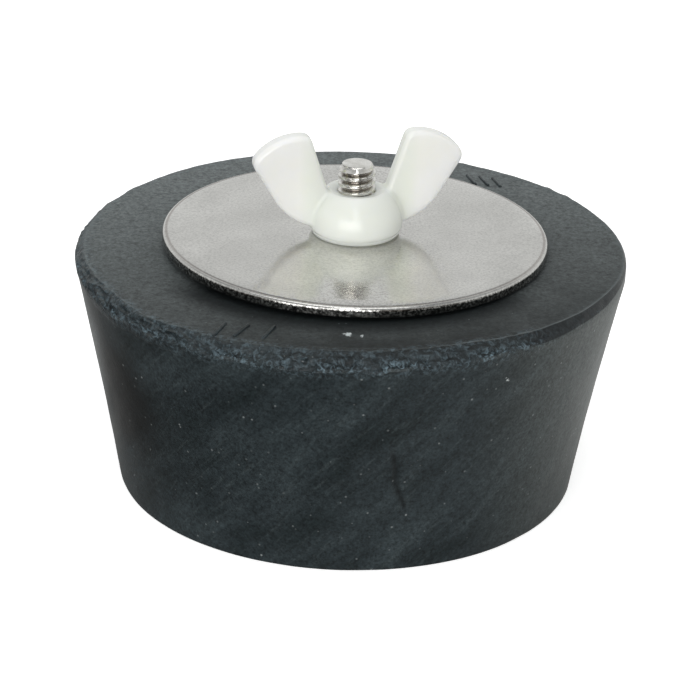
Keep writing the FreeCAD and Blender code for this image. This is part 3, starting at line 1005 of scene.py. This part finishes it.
# Flecks sit where the skin is torn, on the crests of a fine noise, which are also the crests of
# the torn relief: flecks, and painted highlights on those crests. They are about 0.3 mm wide,
# drawn up to 0.8 mm wide so that they show.
FLECK_SIZE = 0.8
shred = add_node(tree, "ShaderNodeTexNoise", {
    "Vector": place,
    "Scale": per_metre(FLECK_SIZE),
    "Detail": 4.0,
    "Roughness": 0.7,
    "Distortion": 0.8,
}).outputs["Fac"]
fleck = add_node(tree, "ShaderNodeMapRange", {
    "Value": shred,
    "From Min": 0.48,
    "From Max": 0.72,
    "To Max": 0.54,
}).outputs["Result"]
torn_fleck_and_highlight = add_node(tree, "ShaderNodeMath", {0: fleck, 1: torn}, operation="MULTIPLY").outputs[0]
rubber_colour = dusted
for share, colour in ((cut_share, "101417"), (drawn_share, "6C7374"), (torn_fleck_and_highlight, "8CA4B0")):
    rubber_colour = add_node(tree, "ShaderNodeMix", {
        "Factor": share,
        "A": rubber_colour,
        "B": linear(colour),
    }, data_type="RGBA").outputs["Result"]
print("the band is cut, drawn out and flecked, with flecks up to", FLECK_SIZE, "mm wide")

# %% Relief and gloss of the rubber
# The grain gives a faint relief and the shreds a strong one. Rubber has a dull gloss, which the
# smears vary, and the bloom makes the top matt.
grain_bump = add_node(tree, "ShaderNodeBump", {
    "Height": mottle,
    "Distance": 0.07 * MM,
    "Strength": 0.5,
}).outputs["Normal"]
shred_height = add_node(tree, "ShaderNodeMath", {0: shred, 1: torn}, operation="MULTIPLY").outputs[0]
rubber_bump = add_node(tree, "ShaderNodeBump", {
    "Height": shred_height,
    "Distance": 0.5 * MM,
    "Strength": 1.0,
    "Normal": grain_bump,
}).outputs["Normal"]
rubber_roughness = add_node(tree, "ShaderNodeMapRange", {
    "Value": smears,
    "From Min": 0.3,
    "From Max": 0.7,
    "To Min": 0.28,
    "To Max": 0.4,
}).outputs["Result"]
bloomed_roughness = add_node(tree, "ShaderNodeMix", {
    "Factor": on_top,
    "A": rubber_roughness,
    "B": 0.6,
}, data_type="FLOAT").outputs["Result"]
rubber_shader = add_node(tree, "ShaderNodeBsdfPrincipled", {
    "Base Color": rubber_colour,
    "Roughness": bloomed_roughness,
    "IOR": 1.52,
    "Specular IOR Level": 0.25,
    "Normal": rubber_bump,
})
add_node(tree, "ShaderNodeOutputMaterial", {"Surface": rubber_shader.outputs["BSDF"]})
rubber.data.materials.append(black_rubber)
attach(rubber, "base")
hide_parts("rubber_body")
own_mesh(rubber)
print("rubber finish has", len(tree.nodes), "nodes")

# %% [markdown]
# ## The top plate
# The plate is a disc stamped from stainless steel sheet and tumbled until it is a dull mirror.
# The die left a shallow groove just inside the edge and turned the edge itself down, so that it
# shows as a dark and a bright line over a dark wall. The disc is turned from a profile, because
# the plain solid has only a bevel there. Nothing holds the plate but the nut, and it lies in the
# photograph a trifle lower at the right, by 0.4 mm.

# %% Top plate
# The edge is set out by how far each point lies inside it, and how far below the flat.
PLATE_FOOT = plate_low.z / MM
PLATE_TOP = plate_high.z / MM
PLATE_HOLE = 3.425
PLATE_STEPS = 320
FLAT_END = 1.1
plate_profile = between((PLATE_HOLE, PLATE_TOP), (PLATE_RADIUS - FLAT_END, PLATE_TOP), 2.5)
for inset, drop in (
    (FLAT_END, 0.0), (0.96, 0.02), (0.84, 0.06), (0.74, 0.1), (0.64, 0.1), (0.54, 0.08), (0.43, 0.08),
    (0.31, 0.12), (0.2, 0.2), (0.1, 0.33), (0.04, 0.5), (0.0, 0.75),
):
    plate_profile.append((PLATE_RADIUS - inset, PLATE_TOP - drop))
plate_profile += [(PLATE_RADIUS, PLATE_FOOT - 0.38), (PLATE_RADIUS - 0.12, PLATE_FOOT - 0.5)]
plate_profile += [(PLATE_RADIUS - 0.9, PLATE_FOOT - 0.42), (PLATE_RADIUS - 1.3, PLATE_FOOT - 0.1)]
plate_profile += between((PLATE_RADIUS - 1.8, PLATE_FOOT), (PLATE_HOLE, PLATE_FOOT), 4)
plate_profile += between((PLATE_HOLE, PLATE_FOOT), (PLATE_HOLE, PLATE_TOP), 0.6)
plate_builder = bmesh.new()
lay_rings(plate_builder, [(tilted_place, *point) for point in plate_profile], PLATE_STEPS)
plate = finished("stamped_plate", plate_builder)

# %% [markdown]
# ## Stamped and tumbled stainless steel
# Stainless steel mirrors its surroundings with a slightly warm grey. Tumbling leaves a fine
# random grain with tiny pits. The grain is finer than a pixel, so it is drawn here about 0.4 mm
# wide: enough to speckle the surface, while the nut still shows in it.

# %% Grain of the stamped steel
stamped_steel, tree = new_material("stamped_stainless_steel")
place = add_node(tree, "ShaderNodeTexCoord").outputs["Object"]
GRAIN_SIZE = 0.4
tumbled = add_node(tree, "ShaderNodeTexNoise", {
    "Vector": place,
    "Scale": per_metre(GRAIN_SIZE),
    "Detail": 4.0,
    "Roughness": 0.65,
}).outputs["Fac"]
cloudy = add_node(tree, "ShaderNodeTexNoise", {
    "Vector": place,
    "Scale": per_metre(9),
    "Detail": 3.0,
}).outputs["Fac"]
steel_colour = add_node(tree, "ShaderNodeValToRGB", {"Fac": cloudy}, stops=[
    (0.35, "CCCBC7"),
    (0.65, "D7D6D2"),
]).outputs["Color"]
pits = add_node(tree, "ShaderNodeMapRange", {
    "Value": tumbled,
    "From Min": 0.28,
    "From Max": 0.58,
    "To Min": 0.7,
    "To Max": 1.03,
}).outputs["Result"]
pitted = add_node(tree, "ShaderNodeMix", {
    "Factor": 1.0,
    "A": steel_colour,
    "B": pits,
}, data_type="RGBA", blend_type="MULTIPLY").outputs["Result"]
print("the plate has", round(2 * PLATE_RADIUS / GRAIN_SIZE), "grains across")


# %% Darkening in the plate's groove
def distance_from_axis(tree, place):
    """The distance of each point of a surface from the bolt's axis, whatever its height."""
    level = add_node(tree, "ShaderNodeVectorMath", {
        0: place,
        1: (1.0, 1.0, 0.0),
    }, operation="MULTIPLY").outputs["Vector"]
    return add_node(tree, "ShaderNodeVectorMath", {0: level}, operation="LENGTH").outputs["Value"]


# The groove inside the edge is darkened brown.
GROOVE_INSET = 0.68
from_groove = add_node(tree, "ShaderNodeMath", {
    0: distance_from_axis(tree, place),
    1: (PLATE_RADIUS - GROOVE_INSET) * MM,
}, operation="SUBTRACT").outputs[0]
beside_groove = add_node(tree, "ShaderNodeMath", {0: from_groove}, operation="ABSOLUTE").outputs[0]
groove_darkening = add_node(tree, "ShaderNodeMapRange", {
    "Value": beside_groove,
    "From Min": 0.3 * MM,
    "From Max": 0.12 * MM,
    "To Max": 0.45,
}).outputs["Result"]
groove_darkened = add_node(tree, "ShaderNodeMix", {
    "Factor": groove_darkening,
    "A": pitted,
    "B": linear("6A5C55"),
}, data_type="RGBA").outputs["Result"]
print("the groove's dirt lies", round(PLATE_RADIUS - GROOVE_INSET, 2), "mm from the bolt")

# %% Painted shade on the plate's sheared wall
# The wall was sheared by the die. Its colour is darkened with dark specks: painted shade on the steep
# wall, which faces the dim room.
facing = add_node(tree, "ShaderNodeNewGeometry").outputs["Normal"]
upward = add_node(tree, "ShaderNodeSeparateXYZ", {"Vector": facing}).outputs["Z"]
flatness = add_node(tree, "ShaderNodeMath", {0: upward}, operation="ABSOLUTE").outputs[0]
WALL_FROM = 0.6
on_wall = add_node(tree, "ShaderNodeMapRange", {
    "Value": flatness,
    "From Min": WALL_FROM,
    "From Max": 0.2,
}).outputs["Result"]
wall_painted_shade = add_node(tree, "ShaderNodeMapRange", {
    "Value": tumbled,
    "From Min": 0.46,
    "From Max": 0.62,
    "To Min": 0.1,
    "To Max": 0.9,
}).outputs["Result"]
wall_shaded = add_node(tree, "ShaderNodeMix", {
    "Factor": on_wall,
    "A": groove_darkened,
    "B": wall_painted_shade,
}, data_type="RGBA", blend_type="MULTIPLY").outputs["Result"]
print("the wall begins at a slope of", round(math.degrees(math.acos(WALL_FROM))), "degrees")

# %% Gloss of the stamped steel
# Tumbled steel is a dull mirror: its roughness is low and changes from grain to grain.
steel_roughness = add_node(tree, "ShaderNodeMapRange", {
    "Value": tumbled,
    "From Min": 0.3,
    "From Max": 0.7,
    "To Min": 0.11,
    "To Max": 0.2,
}).outputs["Result"]
steel_bump = add_node(tree, "ShaderNodeBump", {
    "Height": tumbled,
    "Distance": 0.015 * MM,
    "Strength": 0.35,
}).outputs["Normal"]
steel_shader = add_node(tree, "ShaderNodeBsdfPrincipled", {
    "Base Color": wall_shaded,
    "Metallic": 1.0,
    "Roughness": steel_roughness,
    "Normal": steel_bump,
})
add_node(tree, "ShaderNodeOutputMaterial", {"Surface": steel_shader.outputs["BSDF"]})
plate.data.materials.append(stamped_steel)
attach(plate, "press")
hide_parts("top_plate")

# The bottom plate is the solid itself, in the same steel.
bottom_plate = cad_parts["bottom_plate"]
bottom_plate.data.materials.clear()
bottom_plate.data.materials.append(stamped_steel)
print("steel finish has", len(tree.nodes), "nodes")

# %% [markdown]
# ## The bolt
# The bolt is cold-headed stainless steel wire with a rolled thread. In the photograph the thread
# ends just above the nut, and every crest shows, so the thread is a real ridge that climbs round
# the bolt, not a row of rings. Its points stand in level rings all the same. Only their radius
# follows the ridge, which passes each angle at another height.

# %% Thread
bolt_low, bolt_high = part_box("carriage_bolt")
TIP = bolt_high.z / MM
HEAD_FOOT = bolt_low.z / MM
CREST = 3.02
ROOT = 2.36
PITCH = 1.27
THREAD_FROM = 9.0
CREST_AT = 0.4
END_TOP = TIP - 0.3
END_RADIUS = 2.43
END_SLOPE = 0.55
RUN_OUT = 2.5


def thread_place(angle, height):
    """A point of the rolled right-hand thread: round crests and roots, straight flanks."""
    phase = (height - CREST_AT) / PITCH - angle / (2 * math.pi)
    ridge = 0.5 + 0.5 * math.cos(2 * math.pi * phase)
    depth = (CREST - ROOT) * min(1.0, max(0.0, 1.5 * ridge - 0.1))
    run_out = max(0.0, min(1.0, (height - THREAD_FROM) / RUN_OUT))
    chamfer = END_RADIUS + max(0.0, END_TOP - height) * END_SLOPE
    radius = min(ROOT + depth * run_out + (1 - run_out) * 0.35, chamfer)
    return turned_place(angle, radius, height)


print("thread turns:", round((TIP - THREAD_FROM) / PITCH))

# %% Square neck and domed head
NECK_HALF = 3.175
CORNER_REACH = 1.36
HEAD_RADIUS = 7.55
HEAD_TOP = 3.3
HEAD_WALL = 0.15
DOME_STEPS = 16
NECK_TOP = 7.3
SHANK_RADIUS = 2.77


def neck_place(angle, height):
    """A point of the square neck, with its corners a little rounded."""
    reach = NECK_HALF / max(abs(math.cos(angle)), abs(math.sin(angle)))
    return turned_place(angle, min(reach, NECK_HALF * CORNER_REACH), height)


# The dome's first ring is a small one, two degrees from the middle, which a face closes later.
bolt_rings = []
for i in range(DOME_STEPS + 1):
    slope = math.radians(2 + 88 * i / DOME_STEPS)
    fall = (HEAD_TOP - HEAD_WALL - HEAD_FOOT) * math.cos(slope)
    dome_height = HEAD_TOP - HEAD_WALL - fall
    bolt_rings.append((turned_place, HEAD_RADIUS * math.sin(slope), dome_height))
bolt_rings += [(turned_place, HEAD_RADIUS, HEAD_TOP)]
bolt_rings += [(turned_place, HEAD_RADIUS - 0.2, HEAD_TOP + 0.2)]
bolt_rings += [(neck_place, HEAD_TOP + 0.2), (neck_place, NECK_TOP)]
bolt_rings += [(turned_place, SHANK_RADIUS, 7.6), (turned_place, SHANK_RADIUS, 8.6)]
print("head and neck:", len(bolt_rings), "rings")

# %% Bolt
# The part above the nut gets rings 0.08 mm apart, the hidden part one each 0.2 mm.
BOLT_STEPS = 96
FINE_FROM = 48
height = THREAD_FROM
while height < END_TOP - 0.01:
    bolt_rings.append((thread_place, height))
    height += 0.08 if height > FINE_FROM else 0.2
bolt_rings += [(thread_place, END_TOP), (turned_place, 2.2, END_TOP + 0.04)]
bolt_rings += [(turned_place, 0.8, END_TOP)]
bolt_builder = bmesh.new()
laid = lay_rings(bolt_builder, bolt_rings, BOLT_STEPS, closed=False)
bolt_builder.faces.new(laid[0])
bolt_builder.faces.new(laid[-1])
bolt = finished("threaded_bolt", bolt_builder, 50)

# %% [markdown]
# ## Rolled stainless steel
# A rolled thread is burnished bright by the dies, and its grooves are painted brownish dark: a
# trace of drawing grease, and painted shade deep in the grooves. The metal stays smooth: only a
# faint unevenness breaks its highlights.

# %% Colour of the rolled steel
rolled_steel, tree = new_material("rolled_stainless_steel")
place = add_node(tree, "ShaderNodeTexCoord").outputs["Object"]
stain = add_node(tree, "ShaderNodeTexNoise", {
    "Vector": place,
    "Scale": per_metre(1.6),
    "Detail": 5.0,
    "Roughness": 0.6,
}).outputs["Fac"]
bright_colour = add_node(tree, "ShaderNodeValToRGB", {"Fac": stain}, stops=[
    (0.35, "D6D4CE"),
    (0.7, "F0EFEB"),
]).outputs["Color"]

# Grease and painted shade lie deep in the grooves, and only along the thread: the head and the tip
# have none.
THREAD_MIDDLE = 31.4
groove = add_node(tree, "ShaderNodeMapRange", {
    "Value": distance_from_axis(tree, place),
    "From Min": 2.42 * MM,
    "From Max": 2.78 * MM,
    "To Min": 0.72,
    "To Max": 0.0,
}).outputs["Result"]
along_bolt = add_node(tree, "ShaderNodeSeparateXYZ", {"Vector": place}).outputs["Z"]
from_middle = add_node(tree, "ShaderNodeMath", {
    0: along_bolt,
    1: THREAD_MIDDLE * MM,
}, operation="SUBTRACT").outputs[0]
beside_middle = add_node(tree, "ShaderNodeMath", {0: from_middle}, operation="ABSOLUTE").outputs[0]
on_thread = add_node(tree, "ShaderNodeMapRange", {
    "Value": beside_middle,
    "From Min": 22.5 * MM,
    "From Max": 21.8 * MM,
}).outputs["Result"]
grease_and_groove_shade = add_node(tree, "ShaderNodeMath", {0: groove, 1: on_thread}, operation="MULTIPLY").outputs[0]
bolt_colour = add_node(tree, "ShaderNodeMix", {
    "Factor": grease_and_groove_shade,
    "A": bright_colour,
    "B": linear("665A4E"),
}, data_type="RGBA").outputs["Result"]
print("the grooves reach in to", ROOT, "mm from the axis, the crests out to", CREST, "mm")

# %% Gloss of the rolled steel
# The dies burnish it evenly, so its roughness is one number.
bolt_bump = add_node(tree, "ShaderNodeBump", {
    "Height": stain,
    "Distance": 0.03 * MM,
    "Strength": 0.12,
}).outputs["Normal"]
bolt_shader = add_node(tree, "ShaderNodeBsdfPrincipled", {
    "Base Color": bolt_colour,
    "Metallic": 1.0,
    "Roughness": 0.18,
    "Normal": bolt_bump,
})
add_node(tree, "ShaderNodeOutputMaterial", {"Surface": bolt_shader.outputs["BSDF"]})
bolt.data.materials.append(rolled_steel)
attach(bolt, "base")
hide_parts("carriage_bolt")
print("bolt finish has", len(tree.nodes), "nodes")

# %% [markdown]
# ## The wing nut
# The nut is injection-moulded natural nylon: milky, a little see-through where it is thin, with
# a smooth satin skin. Light that enters it spreads inside before it comes out, which softens
# every edge.
#
# Its solid already has the right shape but for two things. The hub stands on a narrower foot, so
# that a thin line runs round it just above the plate, and its mouth lies close to the thread,
# in a shallow dish. The mesh of the solid is copied and cut all round at that line. Then its
# lowest ring is drawn in, and so are the rings of the mouth.

# %% The nut's foot and mouth
# All in mm. Below FOOT_HEIGHT, what lies farther out than OUTSIDE_BORE is the foot. What lies
# inside MOUTH_REACH, and no more than MOUTH_DEPTH below the hub's top, is the mouth.
nut_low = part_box("wing_nut")[0]
FOOT_HEIGHT = 1.2
FOOT_IN = 0.65
OUTSIDE_BORE = 5
HUB_HEIGHT = 7.5
MOUTH_REACH = 3.6
MOUTH_RADIUS = 3.04
MOUTH_DEPTH = 0.4
DISH = 0.3
hub_top = nut_low.z + HUB_HEIGHT * MM
nut_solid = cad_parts["wing_nut"]
nut_builder = bmesh.new()
nut_builder.from_mesh(nut_solid.data)
nut_builder.transform(nut_solid.matrix_world)
everything = nut_builder.verts[:] + nut_builder.edges[:] + nut_builder.faces[:]
line_height = nut_low.z + FOOT_HEIGHT * MM
on_line = (0, 0, line_height)
bmesh.ops.bisect_plane(nut_builder, geom=everything, plane_co=on_line, plane_no=(0, 0, 1))
for vert in nut_builder.verts:
    out = math.hypot(vert.co.x, vert.co.y)
    below = (line_height - vert.co.z) / (FOOT_HEIGHT * MM)
    if out > OUTSIDE_BORE * MM and below > 0:
        vert.co.xy *= 1 - FOOT_IN * MM * below / out
    if out < MOUTH_REACH * MM and vert.co.z > hub_top - MOUTH_DEPTH * MM:
        flare = 0.2 * (vert.co.z - hub_top + MOUTH_DEPTH * MM)
        vert.co.xy *= (MOUTH_RADIUS * MM + flare) / out
        vert.co.z -= DISH * MM
nut = finished("moulded_wing_nut", nut_builder, 30)
nut.modifiers.new("even_shading", "WEIGHTED_NORMAL").keep_sharp = True
print("the nut's foot is", FOOT_HEIGHT, "mm high")

# %% Colour of the nylon
natural_nylon, tree = new_material("moulded_natural_nylon")
place = add_node(tree, "ShaderNodeTexCoord").outputs["Object"]
flow = add_node(tree, "ShaderNodeTexNoise", {
    "Vector": place,
    "Scale": per_metre(6),
    "Detail": 3.0,
}).outputs["Fac"]
thin_colour = add_node(tree, "ShaderNodeValToRGB", {"Fac": flow}, stops=[
    (0.35, "F6FAF0"),
    (0.65, "F8FCF4"),
]).outputs["Color"]

# The hub is painted a duller white: thick nylon swallows more of the light than the wings do, and the
# darker tone is also painted shade that tones the brightly lit hub down to the wings.
HUB_FADES_FROM = 6.5
HUB_ENDS = 10
hub_thickness_and_shade = add_node(tree, "ShaderNodeMapRange", {
    "Value": distance_from_axis(tree, place),
    "From Min": HUB_ENDS * MM,
    "From Max": HUB_FADES_FROM * MM,
}).outputs["Result"]
nylon_colour = add_node(tree, "ShaderNodeMix", {
    "Factor": hub_thickness_and_shade,
    "A": thin_colour,
    "B": linear("E8EBE4"),
}, data_type="RGBA").outputs["Result"]
print("the hub's duller white fades out from", HUB_FADES_FROM, "to", HUB_ENDS, "mm from the axis")

# %% Skin and depth of the nylon
# Light wanders up to 3 mm inside before it comes out again.
skin = add_node(tree, "ShaderNodeTexNoise", {
    "Vector": place,
    "Scale": per_metre(0.9),
    "Detail": 3.0,
}).outputs["Fac"]
nylon_bump = add_node(tree, "ShaderNodeBump", {
    "Height": skin,
    "Distance": 0.02 * MM,
    "Strength": 0.4,
}).outputs["Normal"]
nylon_shader = add_node(tree, "ShaderNodeBsdfPrincipled", {
    "Base Color": nylon_colour,
    "Roughness": 0.22,
    "IOR": 1.53,
    "Subsurface Weight": 0.9,
    "Subsurface Radius": (1.0, 0.97, 0.88),
    "Subsurface Scale": 3.0 * MM,
    "Normal": nylon_bump,
})
add_node(tree, "ShaderNodeOutputMaterial", {"Surface": nylon_shader.outputs["BSDF"]})
nut.data.materials.append(natural_nylon)
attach(nut, "nut")
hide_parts("wing_nut")
print("nylon finish has", len(tree.nodes), "nodes")
